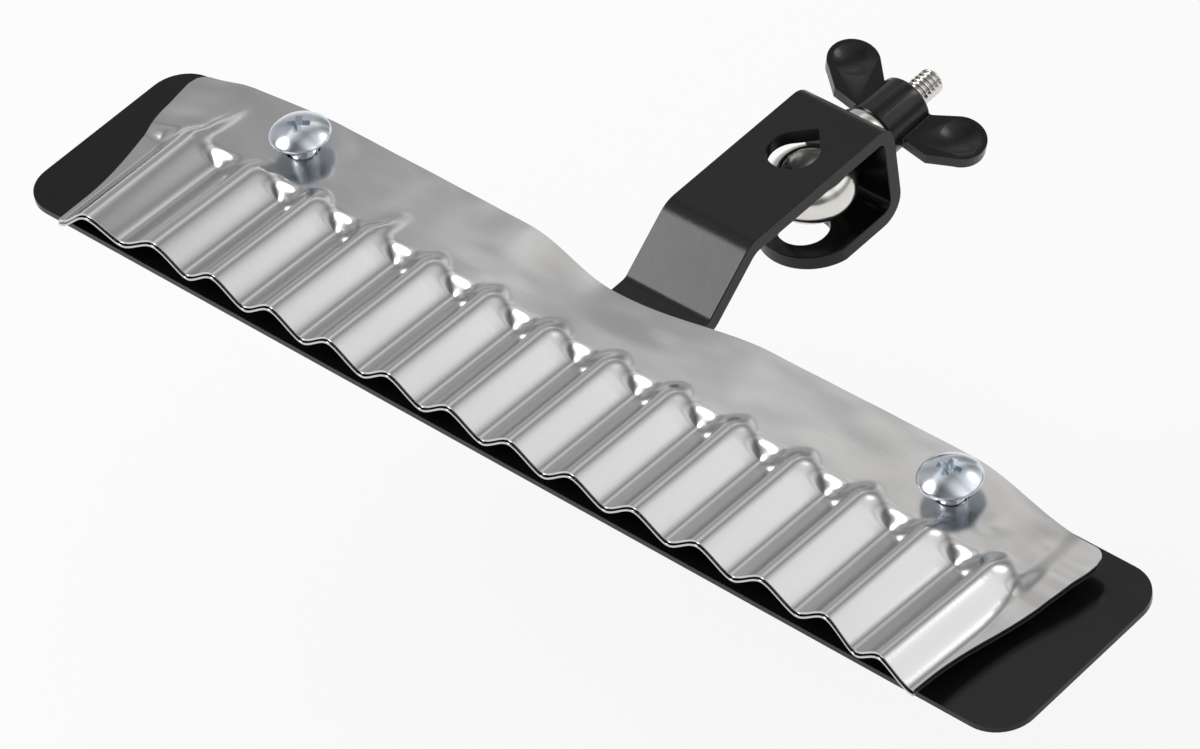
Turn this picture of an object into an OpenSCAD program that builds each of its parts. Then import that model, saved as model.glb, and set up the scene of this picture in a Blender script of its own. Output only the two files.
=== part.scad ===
// Metal guiro that clamps onto a percussion rod.
// The origin is the centre of the eye that grips the rod: X along the plate, Y towards the wing nut, Z up.

/* [Base plate] */
// Length of the base plate
plate_length = 285; // [265:1:340]
// Width of the base plate, front to back
plate_width = 53; // [50:1:64]
// Thickness of the base plate
plate_thickness = 1.5; // [1:0.1:3]
// Radius of the plate's corners
plate_corner_r = 9; // [4:0.5:16]

/* [Scraper sheets] */
// Number of ridges that the stick runs over
ridge_count = 14; // [10:2:14]
// Distance from one ridge to the next
ridge_pitch = 17.6; // [15:0.1:18]
// Height of a ridge above the grooves beside it
ridge_depth = 4.7; // [3:0.1:5]
// Length of the straight part of a ridge, from the front edge
ridge_length = 29; // [22:0.5:30]
// Length over which a groove runs out into the plain strip behind it
ridge_runout = 4.5; // [4:0.5:8]
// How much further a ridge's crest runs out than the grooves
ridge_nose = 3.5; // [0:0.5:5]
// How pointed the ridges are, from a sine wave to a triangle
ridge_sharpness = 0.75; // [0.5:0.01:0.98]
// Thickness of one sheet, measured straight up
sheet_thickness = 0.55; // [0.4:0.05:1]
// Free space between the two nested sheets
sheet_gap = 0.4; // [0.15:0.05:0.6]
// Height of the upper sheet's mid level above the plate, at its middle
sheet_crown = 4.95; // [4.5:0.05:7]
// Extra height of the two humps beside the middle
sheet_hump = 0.65; // [0:0.05:1.5]
// Extra height of the plain strip just behind the ridges
strip_swell = 0.7; // [0:0.1:1]
// Extra height of the ridges at the front edge
front_lift = 1.1; // [0.6:0.1:2]
// Further height of the front edge towards the raised right end
right_front_lift = 1.65; // [0:0.05:2]
// Level of the raised right corner above the plate
right_corner_level = 5.3; // [1.8:0.1:6]
// How much further each end reaches at the back edge than at the front edge
sheet_flare = 7.9; // [2:0.1:9]
// How far the ends of the ridges are bent over to the left
sheet_lean = 3.4; // [0:0.1:4]
// How far the lower sheet shows in front of the upper one
lower_sheet_reveal = 0.4; // [0:0.1:1]
// Radius of the sheets' back corners
sheet_corner_r = 4; // [1:0.5:6]

/* [Sheet screws] */
// Distance between the two screws
screw_spacing = 187; // [150:1:200]
// Distance of the screws from the plate's back edge
screw_inset = 9.7; // [8:0.1:11]
// Diameter of the screws' thread
screw_d = 6.35; // [5:0.05:7]
// Diameter of the truss head
screw_head_d = 14.2; // [11:0.1:16]
// Height of the truss head
screw_head_h = 3.4; // [2:0.1:5]
// Free play between the sheets and the screw heads
screw_play = 4.8; // [4.5:0.1:7]
// Width of the nuts across their flats
nut_af = 11.1; // [10:0.1:13]
// Height of the nuts
nut_h = 5.5; // [4:0.1:7]
// Thickness of the lock washers
lock_washer_t = 1.6; // [1:0.1:2.5]

/* [Bracket] */
// Width of the bent strap
strap_width = 24.5; // [22:0.5:32]
// Thickness of the strap
strap_thickness = 3.5; // [2.5:0.1:5]
// Distance of the strap's first bend behind the plate's back edge
strap_overhang = 5.6; // [4:0.1:9]
// Length of the foot under the plate
foot_length = 30; // [24:0.5:36]
// Angle of the riser above the plate
riser_angle = 35.5; // [25:0.5:50]
// Outside height of the clamp end, from the lower tab to the top face
clamp_height = 26; // [24:0.5:34]
// Height of the bolt's axis under the plate's top face
plate_rise = 3.5; // [2:0.1:6]
// Distance of the rod's axis behind the plate's back edge
rod_reach = 53.3; // [50:0.5:70]
// Diameter of the rod holes in the strap
rod_hole_d = 12; // [9.6:0.1:13]
// Distance of the rod holes in front of the eye's resting place
rod_hole_lead = 4.2; // [3:0.1:5]
// Distance between the two rivets
rivet_spacing = 13; // [11:0.5:16]
// Diameter of the rivets' shanks
rivet_d = 4; // [3:0.1:5]
// Diameter of the rivets' heads
rivet_head_d = 7.6; // [6:0.1:8]

/* [Eye bolt] */
// Diameter of the eye's bore
eye_bore_d = 12.2; // [10:0.1:13]
// Width of metal around the eye's bore
eye_wall = 4.2; // [3:0.1:4.5]
// Height of the eye, along the rod
eye_height = 10; // [7:0.1:12]
// Diameter of the bolt's thread
bolt_d = 6.35; // [5:0.05:8]
// Length of the bolt from the eye's centre to its tip
bolt_length = 42; // [40:0.5:60]
// Space between the eye and the strap's end wall
eye_to_wall = 1.3; // [1.3:0.1:3]
// Diameter of the clamp washer
washer_d = 15.2; // [13:0.1:18]
// Thickness of the clamp washer
washer_t = 4.3; // [2:0.1:5]

/* [Wing nut] */
// Diameter of the hub next to the washer
hub_d = 14; // [12:0.1:16]
// Diameter of the hub at its outer end
hub_end_d = 13.6; // [11:0.1:14]
// Length of the hub
hub_length = 13.1; // [10:0.1:18]
// Thickness of a wing
wing_thickness = 3.1; // [2:0.1:4]
// Distance of a wing's thumb pad from the bolt's axis
wing_reach = 15.5; // [14:0.1:20]
// Radius of a wing's round end
wing_r = 6.1; // [4.5:0.1:7]
// Radius of the dish in a thumb pad
dish_r = 4.8; // [3:0.1:5]
// Depth of the dish in a thumb pad
dish_depth = 0.9; // [0.4:0.1:1.2]
// Turn of the wings at rest, clockwise as seen from the tip
wing_turn = 15; // [0:1:90]

/* [Hidden] */
$fn = 64;
eps = 0.01;

// Places that several pieces share
plate_back = -rod_reach;
plate_front = plate_back - plate_width;
plate_top = plate_rise;
plate_bottom = plate_top - plate_thickness;
screw_y = plate_back - screw_inset;
screw_clearance = 0.05;
sheet_hole_r = screw_d / 2 + 0.9;
sheet_level_at_screw = plate_top + sheet_crown + sheet_hump;
head_seat = sheet_level_at_screw + screw_play;
nut_seat = plate_bottom - lock_washer_t;
screw_tip_out = 0.3;
screw_tip = nut_seat - nut_h - screw_tip_out;

strap_top = clamp_height / 2;
eye_outer_r = eye_bore_d / 2 + eye_wall;
wall_inside = eye_outer_r + eye_to_wall;
wall_outside = wall_inside + strap_thickness;
nut_gap = 0.2;
hub_base = wall_outside + washer_t + nut_gap;
hub_end = hub_base + hub_length;
bolt_clearance = 0.35;
thread_clearance = 0.06;
rivet_inset = 11;
rivet_y = plate_back - rivet_inset;
rivet_head_h = 1.3;

// Smooth step from 0 at a to 1 at b
function smooth_step(a, b, v) = let (t = min(max((v - a) / (b - a), 0), 1)) t * t * (3 - 2 * t);
function mix(a, b, t) = a + (b - a) * t;

// The sheets' outline and surface
sheet_half = ridge_count * ridge_pitch / 2;
sheet_end_length = 33;
sheet_end_start = sheet_half - sheet_end_length;
sheet_end_full = sheet_half - 5;
left_end_start = sheet_half - ridge_pitch;
hump_place = sheet_half * 0.6;
front_inset = 0.2;
back_overhang = 0.7;
seat_clearance = 0.1;
seat_level = 2 * sheet_thickness + sheet_gap + seat_clearance;
// Left and right end: overhang in front, trim and level of the back corner, lean, start of the flare
front_overhang = [1.6, 4.3];
corner_trim = [1.5, 4.4];
corner_level = [seat_level, right_corner_level];
end_lean = [sheet_lean, 0.4];
flare_start = [7, 0];
// Where the strip behind the ridges begins to slope towards each corner, and where it ends
strip_slope = [[sheet_half - 10, sheet_half + 10], [sheet_end_start, sheet_half + sheet_flare / 2]];
// The dip in the back edge: its place, its reach to either side, how far it goes in and down
dip_place = -7;
dip_reach = [28, 44];
dip_inward = 3;
dip_down = 3.3;
lobe_lift = 0.9;
steps_per_ridge = 8;
runout_length = ridge_runout + ridge_nose;
runout_steps = 5;
strip_steps = 3;
flap_steps = 3;
sheet_rows = 1 + runout_steps + strip_steps;

function ridge_wave(x) =
    abs(x) >= sheet_half ? -1 :
    asin(ridge_sharpness * cos(360 * (x / ridge_pitch - (ridge_count - 1) / 2))) / asin(ridge_sharpness);

// How much further the surface keeps its wave here than in the grooves
function nose(x) = ridge_nose * pow((ridge_wave(x) + 1) / 2, 1.5);

function side_of(x) = x < 0 ? 0 : 1;
function end_share(x) = smooth_step(sheet_end_start, sheet_half, abs(x));
function open_level(x) = sheet_crown + sheet_hump * smooth_step(0, hump_place, abs(x));

// Mid level of the ridges: the left end comes down to the plate and the right end stands open
function mid_level(x, depth) =
    let (front = min(max(1 - depth / ridge_length, 0), 1.2))
    x < 0
    ? mix(open_level(x) + front_lift * front, seat_level + ridge_depth / 2,
          smooth_step(left_end_start, sheet_half, -x))
    : open_level(x) + (front_lift + right_front_lift * end_share(x)) * front;

function strip_level(x) =
    let (slope = strip_slope[side_of(x)])
    mix(open_level(x), corner_level[side_of(x)], smooth_step(slope[0], slope[1], abs(x)));

function dip(x) =
    let (t = (x - dip_place) / dip_reach[side_of(x - dip_place)])
    abs(t) >= 1 ? 0 : (1 + cos(180 * t)) / 2;

function left_end_fade(x) = x < 0 ? 1 - end_share(x) : 1;
function edge_rise(x) = lobe_lift * left_end_fade(x) - dip_down * dip(x);

function front_edge(x, reveal) =
    plate_front + front_inset - reveal - (front_overhang[side_of(x)] + front_inset) * end_share(x);

function back_edge(x) =
    plate_back + back_overhang - dip_inward * dip(x)
    - (back_overhang + corner_trim[side_of(x)]) * end_share(x);

// What the round back corner takes off a column that lies this far from the sheet's end
function corner_cut(from_end) =
    let (short = max(sheet_corner_r - from_end, 0))
    sheet_corner_r - sqrt(sheet_corner_r * sheet_corner_r - short * short);

// Distance behind the plate's front edge of row j in the column at x
function row_depth(j, x, from_end, reveal) =
    j == 0 ? front_edge(x, reveal) - plate_front :
    j <= 1 + runout_steps ? ridge_length + (j - 1) * runout_length / runout_steps :
    mix(ridge_length + runout_length, back_edge(x) - corner_cut(from_end) - plate_front,
        (j - 1 - runout_steps) / strip_steps);

// Height of the upper sheet's top face above the plate
function sheet_height(x, depth) =
    let (
        groove_end = ridge_length + ridge_runout,
        fade = smooth_step(ridge_length, groove_end, depth),
        wave_fade = smooth_step(ridge_length, groove_end + nose(x), depth),
        strip = max((depth - ridge_length) / (plate_width + back_overhang - ridge_length), 0)
    )
    mix(mid_level(x, depth), strip_level(x), fade)
    + ridge_depth / 2 * ridge_wave(x) * (1 - wave_fade)
    + strip_swell * left_end_fade(x) * fade * (1 - min(strip, 1))
    + edge_rise(x) * pow(strip, 1.5);

// Column positions run over the ridges, with a plain flap at either end that widens towards the back
ridge_columns = ridge_count * steps_per_ridge;
last_column = ridge_columns + 2 * flap_steps;
flap_front = 0.3;
function flap_width(side, depth) =
    flap_front + sheet_flare * smooth_step(flare_start[side], plate_width, depth);
function column_x(i, depth) =
    let (left = flap_steps - i, right = i - last_column + flap_steps)
    left > 0 ? -sheet_half - flap_width(0, depth) * left / flap_steps :
    right > 0 ? sheet_half + flap_width(1, depth) * right / flap_steps :
    -sheet_half - left * ridge_pitch / steps_per_ridge;

function sheet_point(i, j, drop, reveal) =
    let (
        rough_x = column_x(i, ridge_length),
        from_end = flap_width(0, plate_width) * min(i, last_column - i) / flap_steps,
        depth = row_depth(j, rough_x, from_end, reveal),
        x = column_x(i, depth)
    )
    [
        x - end_lean[side_of(x)] * smooth_step(sheet_end_start, sheet_end_full, abs(x)),
        plate_front + depth,
        plate_top + sheet_height(x, depth) - drop
    ];

module rounded_square(size_x, size_y, r) {
    square([size_x - 2 * r, size_y], center = true);
    square([size_x, size_y - 2 * r], center = true);
    for (sx = [-1, 1], sy = [-1, 1])
        translate([sx * (size_x / 2 - r), sy * (size_y / 2 - r)])
            circle(r = r);
}

module base_plate() {
    color("#26272a")
    difference() {
        translate([0, (plate_front + plate_back) / 2, plate_bottom])
            linear_extrude(plate_thickness)
                rounded_square(plate_length, plate_width, plate_corner_r);
        for (side = [-1, 1]) {
            translate([side * screw_spacing / 2, screw_y, plate_bottom - eps])
                cylinder(d = screw_d + 2 * screw_clearance, h = plate_thickness + 2 * eps);
            translate([side * rivet_spacing / 2, rivet_y, plate_bottom - eps])
                cylinder(d = rivet_d, h = plate_thickness + 2 * eps);
        }
    }
}

// One corrugated sheet; drop is how far its top face lies below the upper sheet's
module scraper_sheet(drop, reveal) {
    columns = last_column + 1;
    rows = sheet_rows + 1;
    count = columns * rows;
    top = [for (j = [0:rows - 1], i = [0:columns - 1]) sheet_point(i, j, drop, reveal)];
    under = [for (p = top) p - [0, 0, sheet_thickness]];
    top_faces = [
        for (j = [0:rows - 2], i = [0:columns - 2])
            let (a = j * columns + i, b = a + 1, c = b + columns, d = a + columns)
            each [[a, c, b], [a, d, c]]
    ];
    under_faces = [for (f = top_faces) [f[2] + count, f[1] + count, f[0] + count]];
    rim = concat(
        [for (i = [0:columns - 1]) i],
        [for (j = [1:rows - 1]) j * columns + columns - 1],
        [for (i = [columns - 2:-1:0]) (rows - 1) * columns + i],
        [for (j = [rows - 2:-1:1]) j * columns]
    );
    rim_faces = [
        for (k = [0:len(rim) - 1])
            let (a = rim[k], b = rim[(k + 1) % len(rim)])
            each [[a, b, b + count], [a, b + count, a + count]]
    ];
    difference() {
        polyhedron(concat(top, under), concat(top_faces, under_faces, rim_faces));
        for (side = [-1, 1])
            translate([side * screw_spacing / 2, screw_y, plate_top - sheet_thickness])
                cylinder(r = sheet_hole_r, h = 3 * ridge_depth);
    }
}

module upper_scraper_sheet() {
    color("#d9d7d2")
    scraper_sheet(0, 0);
}

module lower_scraper_sheet() {
    color("#c9c7c2")
    scraper_sheet(sheet_thickness + sheet_gap, lower_sheet_reveal);
}

// Truss head, cross recess and threaded shank, standing on the head's seat
module sheet_screw() {
    head_r = screw_head_d / 2;
    rim_h = 0.6;
    dome_h = screw_head_h - rim_h;
    dome_r = (head_r * head_r + dome_h * dome_h) / (2 * dome_h);
    recess_width = 1.5;
    recess_reach = 2.7;
    recess_depth = 2;
    recess_floor = head_seat + screw_head_h - recess_depth;
    color("#cfd6dc") {
        difference() {
            union() {
                intersection() {
                    translate([0, 0, head_seat + screw_head_h - dome_r])
                        sphere(r = dome_r);
                    translate([0, 0, head_seat])
                        cylinder(r = head_r, h = screw_head_h + 1);
                }
                translate([0, 0, screw_tip])
                    cylinder(d = screw_d, h = head_seat - screw_tip + eps);
            }
            for (turn = [0, 90])
                rotate([0, 0, turn])
                    translate([-recess_reach, -recess_width / 2, recess_floor])
                        cube([2 * recess_reach, recess_width, recess_depth + 1]);
            screw_point();
        }
    }
}

// Chamfer on the tip of a screw
module screw_point() {
    chamfer = 0.8;
    translate([0, 0, screw_tip - eps])
        rotate_extrude()
            polygon([
                [screw_d / 2 - chamfer, 0],
                [screw_d / 2 + 1, 0],
                [screw_d / 2 + 1, chamfer + 1]
            ]);
}

module left_sheet_screw() {
    translate([-screw_spacing / 2, screw_y, 0])
        sheet_screw();
}

module right_sheet_screw() {
    translate([screw_spacing / 2, screw_y, 0])
        sheet_screw();
}

// Split ring between the plate and the nut
module lock_washer() {
    bore_r = screw_d / 2 + 0.2;
    outer_r = bore_r + 2.4;
    split = 1;
    split_turn = 20;
    color("#b9bec4")
    translate([0, screw_y, nut_seat])
        difference() {
            cylinder(r = outer_r, h = lock_washer_t);
            translate([0, 0, -eps])
                cylinder(r = bore_r, h = lock_washer_t + 2 * eps);
            rotate([0, 0, split_turn])
                translate([0, -split / 2, -eps])
                    cube([outer_r + 1, split, lock_washer_t + 2 * eps]);
        }
}

module left_lock_washer() {
    translate([-screw_spacing / 2, 0, 0])
        lock_washer();
}

module right_lock_washer() {
    translate([screw_spacing / 2, 0, 0])
        lock_washer();
}

module hex_nut() {
    corner_r = nut_af / 2 / cos(30);
    chamfer = 0.7;
    color("#b9bec4")
    translate([0, screw_y, nut_seat - nut_h])
        difference() {
            cylinder(r = corner_r, h = nut_h, $fn = 6);
            translate([0, 0, -eps])
                cylinder(d = screw_d + 2 * screw_clearance, h = nut_h + 2 * eps);
            rotate_extrude()
                polygon([
                    [corner_r - chamfer, -eps],
                    [corner_r + 1, -eps],
                    [corner_r + 1, (chamfer + 1) * tan(30)]
                ]);
        }
}

module left_hex_nut() {
    translate([-screw_spacing / 2, 0, 0])
        hex_nut();
}

module right_hex_nut() {
    translate([screw_spacing / 2, 0, 0])
        hex_nut();
}

// The strap's path in the YZ plane: a straight length, then a bend through an angle about an inside radius
foot_bend_r = 3;
riser_bend_r = 4.5;
top_bend_r = 1.6;
tab_bend_r = 3;
bend_steps = 10;
function bend_take(r, angle) = (r + strap_thickness / 2) * tan(abs(angle) / 2);
riser_rise = strap_top - strap_thickness - (plate_bottom - strap_thickness);
riser_run = riser_rise / tan(riser_angle);
foot_mid = plate_bottom - strap_thickness / 2;
foot_corner = plate_back + strap_overhang + strap_thickness / 2 * tan(riser_angle / 2);
riser_corner = foot_corner + riser_run;
wall_mid = wall_inside + strap_thickness / 2;
wall_height = clamp_height - strap_thickness;
tab_end_trim = 2.5;
tab_front = -rod_hole_lead - strap_width / 2 + tab_end_trim;
strap_runs = [
    [foot_length + foot_corner - plate_back, riser_angle, foot_bend_r],
    [riser_rise / sin(riser_angle), -riser_angle, riser_bend_r],
    [wall_mid - riser_corner, -90, top_bend_r],
    [wall_height, -90, tab_bend_r],
    [wall_mid - tab_front, 0, 0]
];

// Places along the middle of the strap, each with its heading; corner is where two straight runs would meet
function strap_stations(i, corner, heading) =
    i == len(strap_runs) ? [] :
    let (
        run = strap_runs[i],
        along = [cos(heading), sin(heading)],
        next_corner = corner + run[0] * along,
        mid_r = run[2] + strap_thickness / 2,
        side = sign(run[1]),
        take = bend_take(run[2], run[1]),
        centre = next_corner - take * along + side * mid_r * [-sin(heading), cos(heading)]
    )
    concat(
        i == 0 ? [[corner, heading]] : [],
        run[1] == 0 ? [[next_corner, heading]] :
        [
            for (k = [0:bend_steps])
                let (h = heading + run[1] * k / bend_steps)
                [centre + side * mid_r * [sin(h), -cos(h)], h]
        ],
        strap_stations(i + 1, next_corner, heading + run[1])
    );

module strap_profile() {
    stations = strap_stations(0, [plate_back - foot_length, foot_mid], 0);
    half = strap_thickness / 2;
    upper = [for (s = stations) s[0] + half * [-sin(s[1]), cos(s[1])]];
    lower = [for (s = stations) s[0] - half * [-sin(s[1]), cos(s[1])]];
    polygon(concat(upper, [for (k = [len(lower) - 1:-1:0]) lower[k]]));
}

// Round rod hole with a vee that centres the rod on the bolt
module rod_hole(vee) {
    r = rod_hole_d / 2;
    vee_inset = 0.06;
    translate([0, -rod_hole_lead, 0]) {
        circle(r = r);
        if (vee)
            rotate([0, 0, 45])
                square(r - vee_inset);
    }
}

module mounting_bracket() {
    color("#232427")
    difference() {
        rotate([90, 0, 90])
            linear_extrude(strap_width, center = true)
                strap_profile();
        linear_extrude(strap_top + 1)
            rod_hole(true);
        translate([0, 0, -strap_top - 1])
            linear_extrude(strap_top + 1)
                rod_hole(false);
        rotate([-90, 0, 0])
            cylinder(d = bolt_d + 2 * bolt_clearance, h = wall_outside + 1);
        for (side = [-1, 1])
            translate([side * rivet_spacing / 2, rivet_y, foot_mid - strap_thickness])
                cylinder(d = rivet_d, h = 2 * strap_thickness);
        tab_end_cut();
    }
}

// What is taken off the lower tab to leave its end round
module tab_end_cut() {
    side_clear = 0.35;
    r = strap_width / 2 + side_clear;
    translate([0, 0, -strap_top - 1])
        difference() {
            translate([-r, tab_front - 1, 0])
                cube([2 * r, r, strap_thickness + 3]);
            translate([0, tab_front + r, -1])
                cylinder(r = r, h = strap_thickness + 5);
        }
}

// Rivet through the plate and the strap's foot, with a low head at either end
module bracket_rivet() {
    grip_bottom = plate_bottom - strap_thickness;
    head_r = rivet_head_d / 2;
    dome_r = (head_r * head_r + rivet_head_h * rivet_head_h) / (2 * rivet_head_h);
    color("#2b2c2f")
    translate([0, rivet_y, 0]) {
        translate([0, 0, grip_bottom - eps])
            cylinder(d = rivet_d, h = plate_top - grip_bottom + 2 * eps);
        intersection() {
            translate([0, 0, plate_top + rivet_head_h - dome_r])
                sphere(r = dome_r);
            translate([0, 0, plate_top])
                cylinder(r = head_r, h = rivet_head_h + 1);
        }
        intersection() {
            translate([0, 0, grip_bottom - rivet_head_h + dome_r])
                sphere(r = dome_r);
            translate([0, 0, grip_bottom - rivet_head_h - 1])
                cylinder(r = head_r, h = rivet_head_h + 1);
        }
    }
}

module left_bracket_rivet() {
    translate([-rivet_spacing / 2, 0, 0])
        bracket_rivet();
}

module right_bracket_rivet() {
    translate([rivet_spacing / 2, 0, 0])
        bracket_rivet();
}

// Half section of the eye, with its corners rounded
module eye_section() {
    corner = 0.475 * eye_wall;
    translate([(eye_bore_d + eye_wall) / 2, 0])
        rounded_square(eye_wall, eye_height, corner);
}

module eye_bolt() {
    bore_r = eye_bore_d / 2;
    root = bore_r + 1;
    collar_r = bolt_d / 2 + 0.9;
    collar_end = eye_outer_r + 0.1;
    chamfer = 0.9;
    color("#dcdad6")
    difference() {
        union() {
            rotate_extrude($fn = 96)
                eye_section();
            rotate([-90, 0, 0])
                translate([0, 0, root])
                    cylinder(r = collar_r, h = collar_end - root);
            rotate([-90, 0, 0])
                rotate_extrude()
                    polygon([
                        [0, root],
                        [bolt_d / 2, root],
                        [bolt_d / 2, bolt_length - chamfer],
                        [bolt_d / 2 - chamfer, bolt_length],
                        [0, bolt_length]
                    ]);
        }
        cylinder(r = bore_r, h = eye_height + 2, center = true, $fn = 96);
    }
}

module clamp_washer() {
    r = washer_d / 2;
    bore_r = bolt_d / 2 + bolt_clearance;
    edge = 1;
    ease = 0.3 * edge;
    color("#d8d4cc")
    translate([0, wall_outside, 0])
        rotate([-90, 0, 0])
            rotate_extrude()
                polygon([
                    [bore_r, 0],
                    [r - edge / 2, 0],
                    [r, edge / 2],
                    [r, washer_t - edge],
                    [r - ease, washer_t - ease],
                    [r - edge, washer_t],
                    [bore_r, washer_t]
                ]);
}

// Where the thumb pads lie along the bolt
pad_y = hub_end - 0.4;

// Outline of both wings, seen along their thickness: X is outwards, Y runs along the bolt
module wing_outline() {
    lean = 45;
    root_y = hub_base + 3.4;
    shoulder = [wing_reach - 2.2, root_y + 0.2];
    tangent = wing_r * [cos(lean), sin(lean)];
    for (side = [-1, 1])
        mirror([side < 0 ? 1 : 0, 0]) {
            translate([wing_reach, pad_y])
                circle(r = wing_r);
            polygon([
                [0, root_y],
                shoulder,
                [wing_reach + tangent[0], pad_y - tangent[1]],
                [wing_reach - tangent[0], pad_y + tangent[1]],
                [hub_end_d / 2, hub_end],
                [0, hub_end]
            ]);
        }
}

module wing_nut() {
    dish_sphere_r = (dish_r * dish_r + dish_depth * dish_depth) / (2 * dish_depth);
    color("#222326")
    rotate([0, wing_turn, 0])
        difference() {
            union() {
                rotate([-90, 0, 0])
                    translate([0, 0, hub_base])
                        hub();
                translate([0, 0, -wing_thickness / 2])
                    linear_extrude(wing_thickness)
                        wing_outline();
            }
            rotate([-90, 0, 0])
                translate([0, 0, hub_base - 1])
                    cylinder(d = bolt_d + 2 * thread_clearance, h = hub_length + 2);
            for (side = [-1, 1])
                translate([side * wing_reach, pad_y, wing_thickness / 2 - dish_depth + dish_sphere_r])
                    sphere(r = dish_sphere_r);
        }
}

// Slightly tapered hub with eased edges
module hub() {
    edge = 0.5;
    rotate_extrude()
        polygon([
            [0, 0],
            [hub_d / 2 - edge, 0],
            [hub_d / 2, edge],
            [hub_end_d / 2, hub_length - edge],
            [hub_end_d / 2 - edge, hub_length],
            [0, hub_length]
        ]);
}

base_plate();
lower_scraper_sheet();
upper_scraper_sheet();
left_sheet_screw();
right_sheet_screw();
left_lock_washer();
right_lock_washer();
left_hex_nut();
right_hex_nut();
mounting_bracket();
left_bracket_rivet();
right_bracket_rivet();
eye_bolt();
clamp_washer();
wing_nut();
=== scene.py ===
import math

import bmesh
import bpy
from mathutils import Matrix, Vector


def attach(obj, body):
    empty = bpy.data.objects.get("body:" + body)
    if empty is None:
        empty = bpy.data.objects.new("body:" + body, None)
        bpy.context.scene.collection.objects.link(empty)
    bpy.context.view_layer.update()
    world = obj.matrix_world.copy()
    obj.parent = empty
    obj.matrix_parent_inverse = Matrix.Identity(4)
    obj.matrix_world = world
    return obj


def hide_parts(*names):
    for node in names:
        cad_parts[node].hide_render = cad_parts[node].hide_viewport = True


mm = 0.001
scene = bpy.context.scene

# The photograph's viewpoint, in the part's own frame
cameraView = {
    "place": (0.758645, -0.743897, 0.948414),
    "right": (0.737988, 0.664415, -0.118007),
    "up": (-0.397191, 0.569054, 0.720012),
    "back": (0.545539, -0.484489, 0.683855),
    "lens": 194.92,
    "sensorWidth": 36.0,
}


def addCamera(view):
    data = bpy.data.cameras.new("camera")
    data.sensor_width = view["sensorWidth"]
    data.lens = view["lens"]
    data.clip_start, data.clip_end = 0.05, 20.0
    camera = bpy.data.objects.new("camera", data)
    scene.collection.objects.link(camera)
    turn = Matrix((view["right"], view["up"], view["back"])).transposed()
    camera.matrix_world = Matrix.Translation(view["place"]) @ turn.to_4x4()
    scene.camera = camera


addCamera(cameraView)
scene.view_settings.view_transform = "Standard"
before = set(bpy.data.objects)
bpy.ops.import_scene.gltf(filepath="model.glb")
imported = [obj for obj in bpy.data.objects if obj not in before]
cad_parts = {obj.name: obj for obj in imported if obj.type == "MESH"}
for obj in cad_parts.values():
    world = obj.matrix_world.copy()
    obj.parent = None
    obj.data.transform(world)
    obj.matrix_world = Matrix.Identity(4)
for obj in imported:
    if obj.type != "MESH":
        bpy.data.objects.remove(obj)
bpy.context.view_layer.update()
print("camera and frame ready")


# One socket of a node tree, so that arithmetic on it adds Math nodes
class Value:
    def __init__(self, graph, socket):
        self.graph, self.socket = graph, socket

    def __add__(self, other):
        return self.graph.maths("ADD", self, other)

    def __sub__(self, other):
        return self.graph.maths("SUBTRACT", self, other)

    def __rsub__(self, other):
        return self.graph.maths("SUBTRACT", other, self)

    def __mul__(self, other):
        return self.graph.maths("MULTIPLY", self, other)

    def __truediv__(self, other):
        return self.graph.maths("DIVIDE", self, other)

    def __pow__(self, other):
        return self.graph.maths("POWER", self, other)

    def __neg__(self):
        return self.graph.maths("MULTIPLY", self, -1.0)

    __radd__, __rmul__ = __add__, __mul__


class Graph:
    def __init__(self, tree):
        self.tree = tree

    # settings come first, then the sockets' values or links
    def add(self, kind, settings=None, inputs=None):
        node = self.tree.nodes.new(kind)
        for name, value in (settings or {}).items():
            if name == "stops":
                self.setStops(node.color_ramp, value)
            else:
                setattr(node, name, value)
        for key, value in (inputs or {}).items():
            for one in value if isinstance(value, list) else [value]:
                if isinstance(one, Value):
                    self.tree.links.new(one.socket, node.inputs[key])
                else:
                    node.inputs[key].default_value = one
        return node

    def setStops(self, ramp, stops):
        while len(ramp.elements) < len(stops):
            ramp.elements.new(1.0)
        for element, (place, colour) in zip(ramp.elements, stops):
            element.position = place
            element.color = (*colour, 1.0)

    def get(self, kind, settings=None, inputs=None, output=0):
        return Value(self, self.add(kind, settings, inputs).outputs[output])

    def maths(self, operation, *terms):
        return self.get("ShaderNodeMath", {"operation": operation}, dict(enumerate(terms)))

    def clamp(self, value, low, high):
        return self.maths("MINIMUM", self.maths("MAXIMUM", value, low), high)

    def smooth(self, value, low, high):
        settings = {"interpolation_type": "SMOOTHSTEP"}
        return self.get("ShaderNodeMapRange", settings, {0: value, 1: low, 2: high})

    def mix(self, a, b, share):
        return a + (b - a) * share

    def noise(self, where, scale, detail=2.0):
        return self.get("ShaderNodeTexNoise", {}, {"Vector": where, "Scale": scale, "Detail": detail})

    def colourMix(self, share, a, b):
        return self.get("ShaderNodeMix", {"data_type": "RGBA"}, {0: share, 6: a, 7: b}, 2)


def addObject(name, mesh):
    piece = bpy.data.objects.new(name, mesh)
    scene.collection.objects.link(piece)
    return piece


# The evaluated shape as a plain mesh, without its modifiers
def settle(piece):
    graph = bpy.context.evaluated_depsgraph_get()
    mesh = bpy.data.meshes.new_from_object(piece.evaluated_get(graph), depsgraph=graph)
    piece.modifiers.clear()
    piece.data = mesh
    mesh.name = piece.name
    return piece


def grow(name, tree, sizes):
    piece = addObject(name, bpy.data.meshes.new(name))
    modifier = piece.modifiers.new("shape", "NODES")
    modifier.node_group = tree
    for item in tree.interface.items_tree:
        if item.item_type == "SOCKET" and item.in_out == "INPUT":
            modifier[item.identifier] = sizes[item.name]
    return settle(piece)


def addSockets(tree, sizes):
    tree.interface.new_socket("Geometry", in_out="OUTPUT", socket_type="NodeSocketGeometry")
    for name in sizes:
        tree.interface.new_socket(name, in_out="INPUT", socket_type="NodeSocketFloat")
    tree.interface.new_socket("Finish", in_out="INPUT", socket_type="NodeSocketMaterial")


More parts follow.
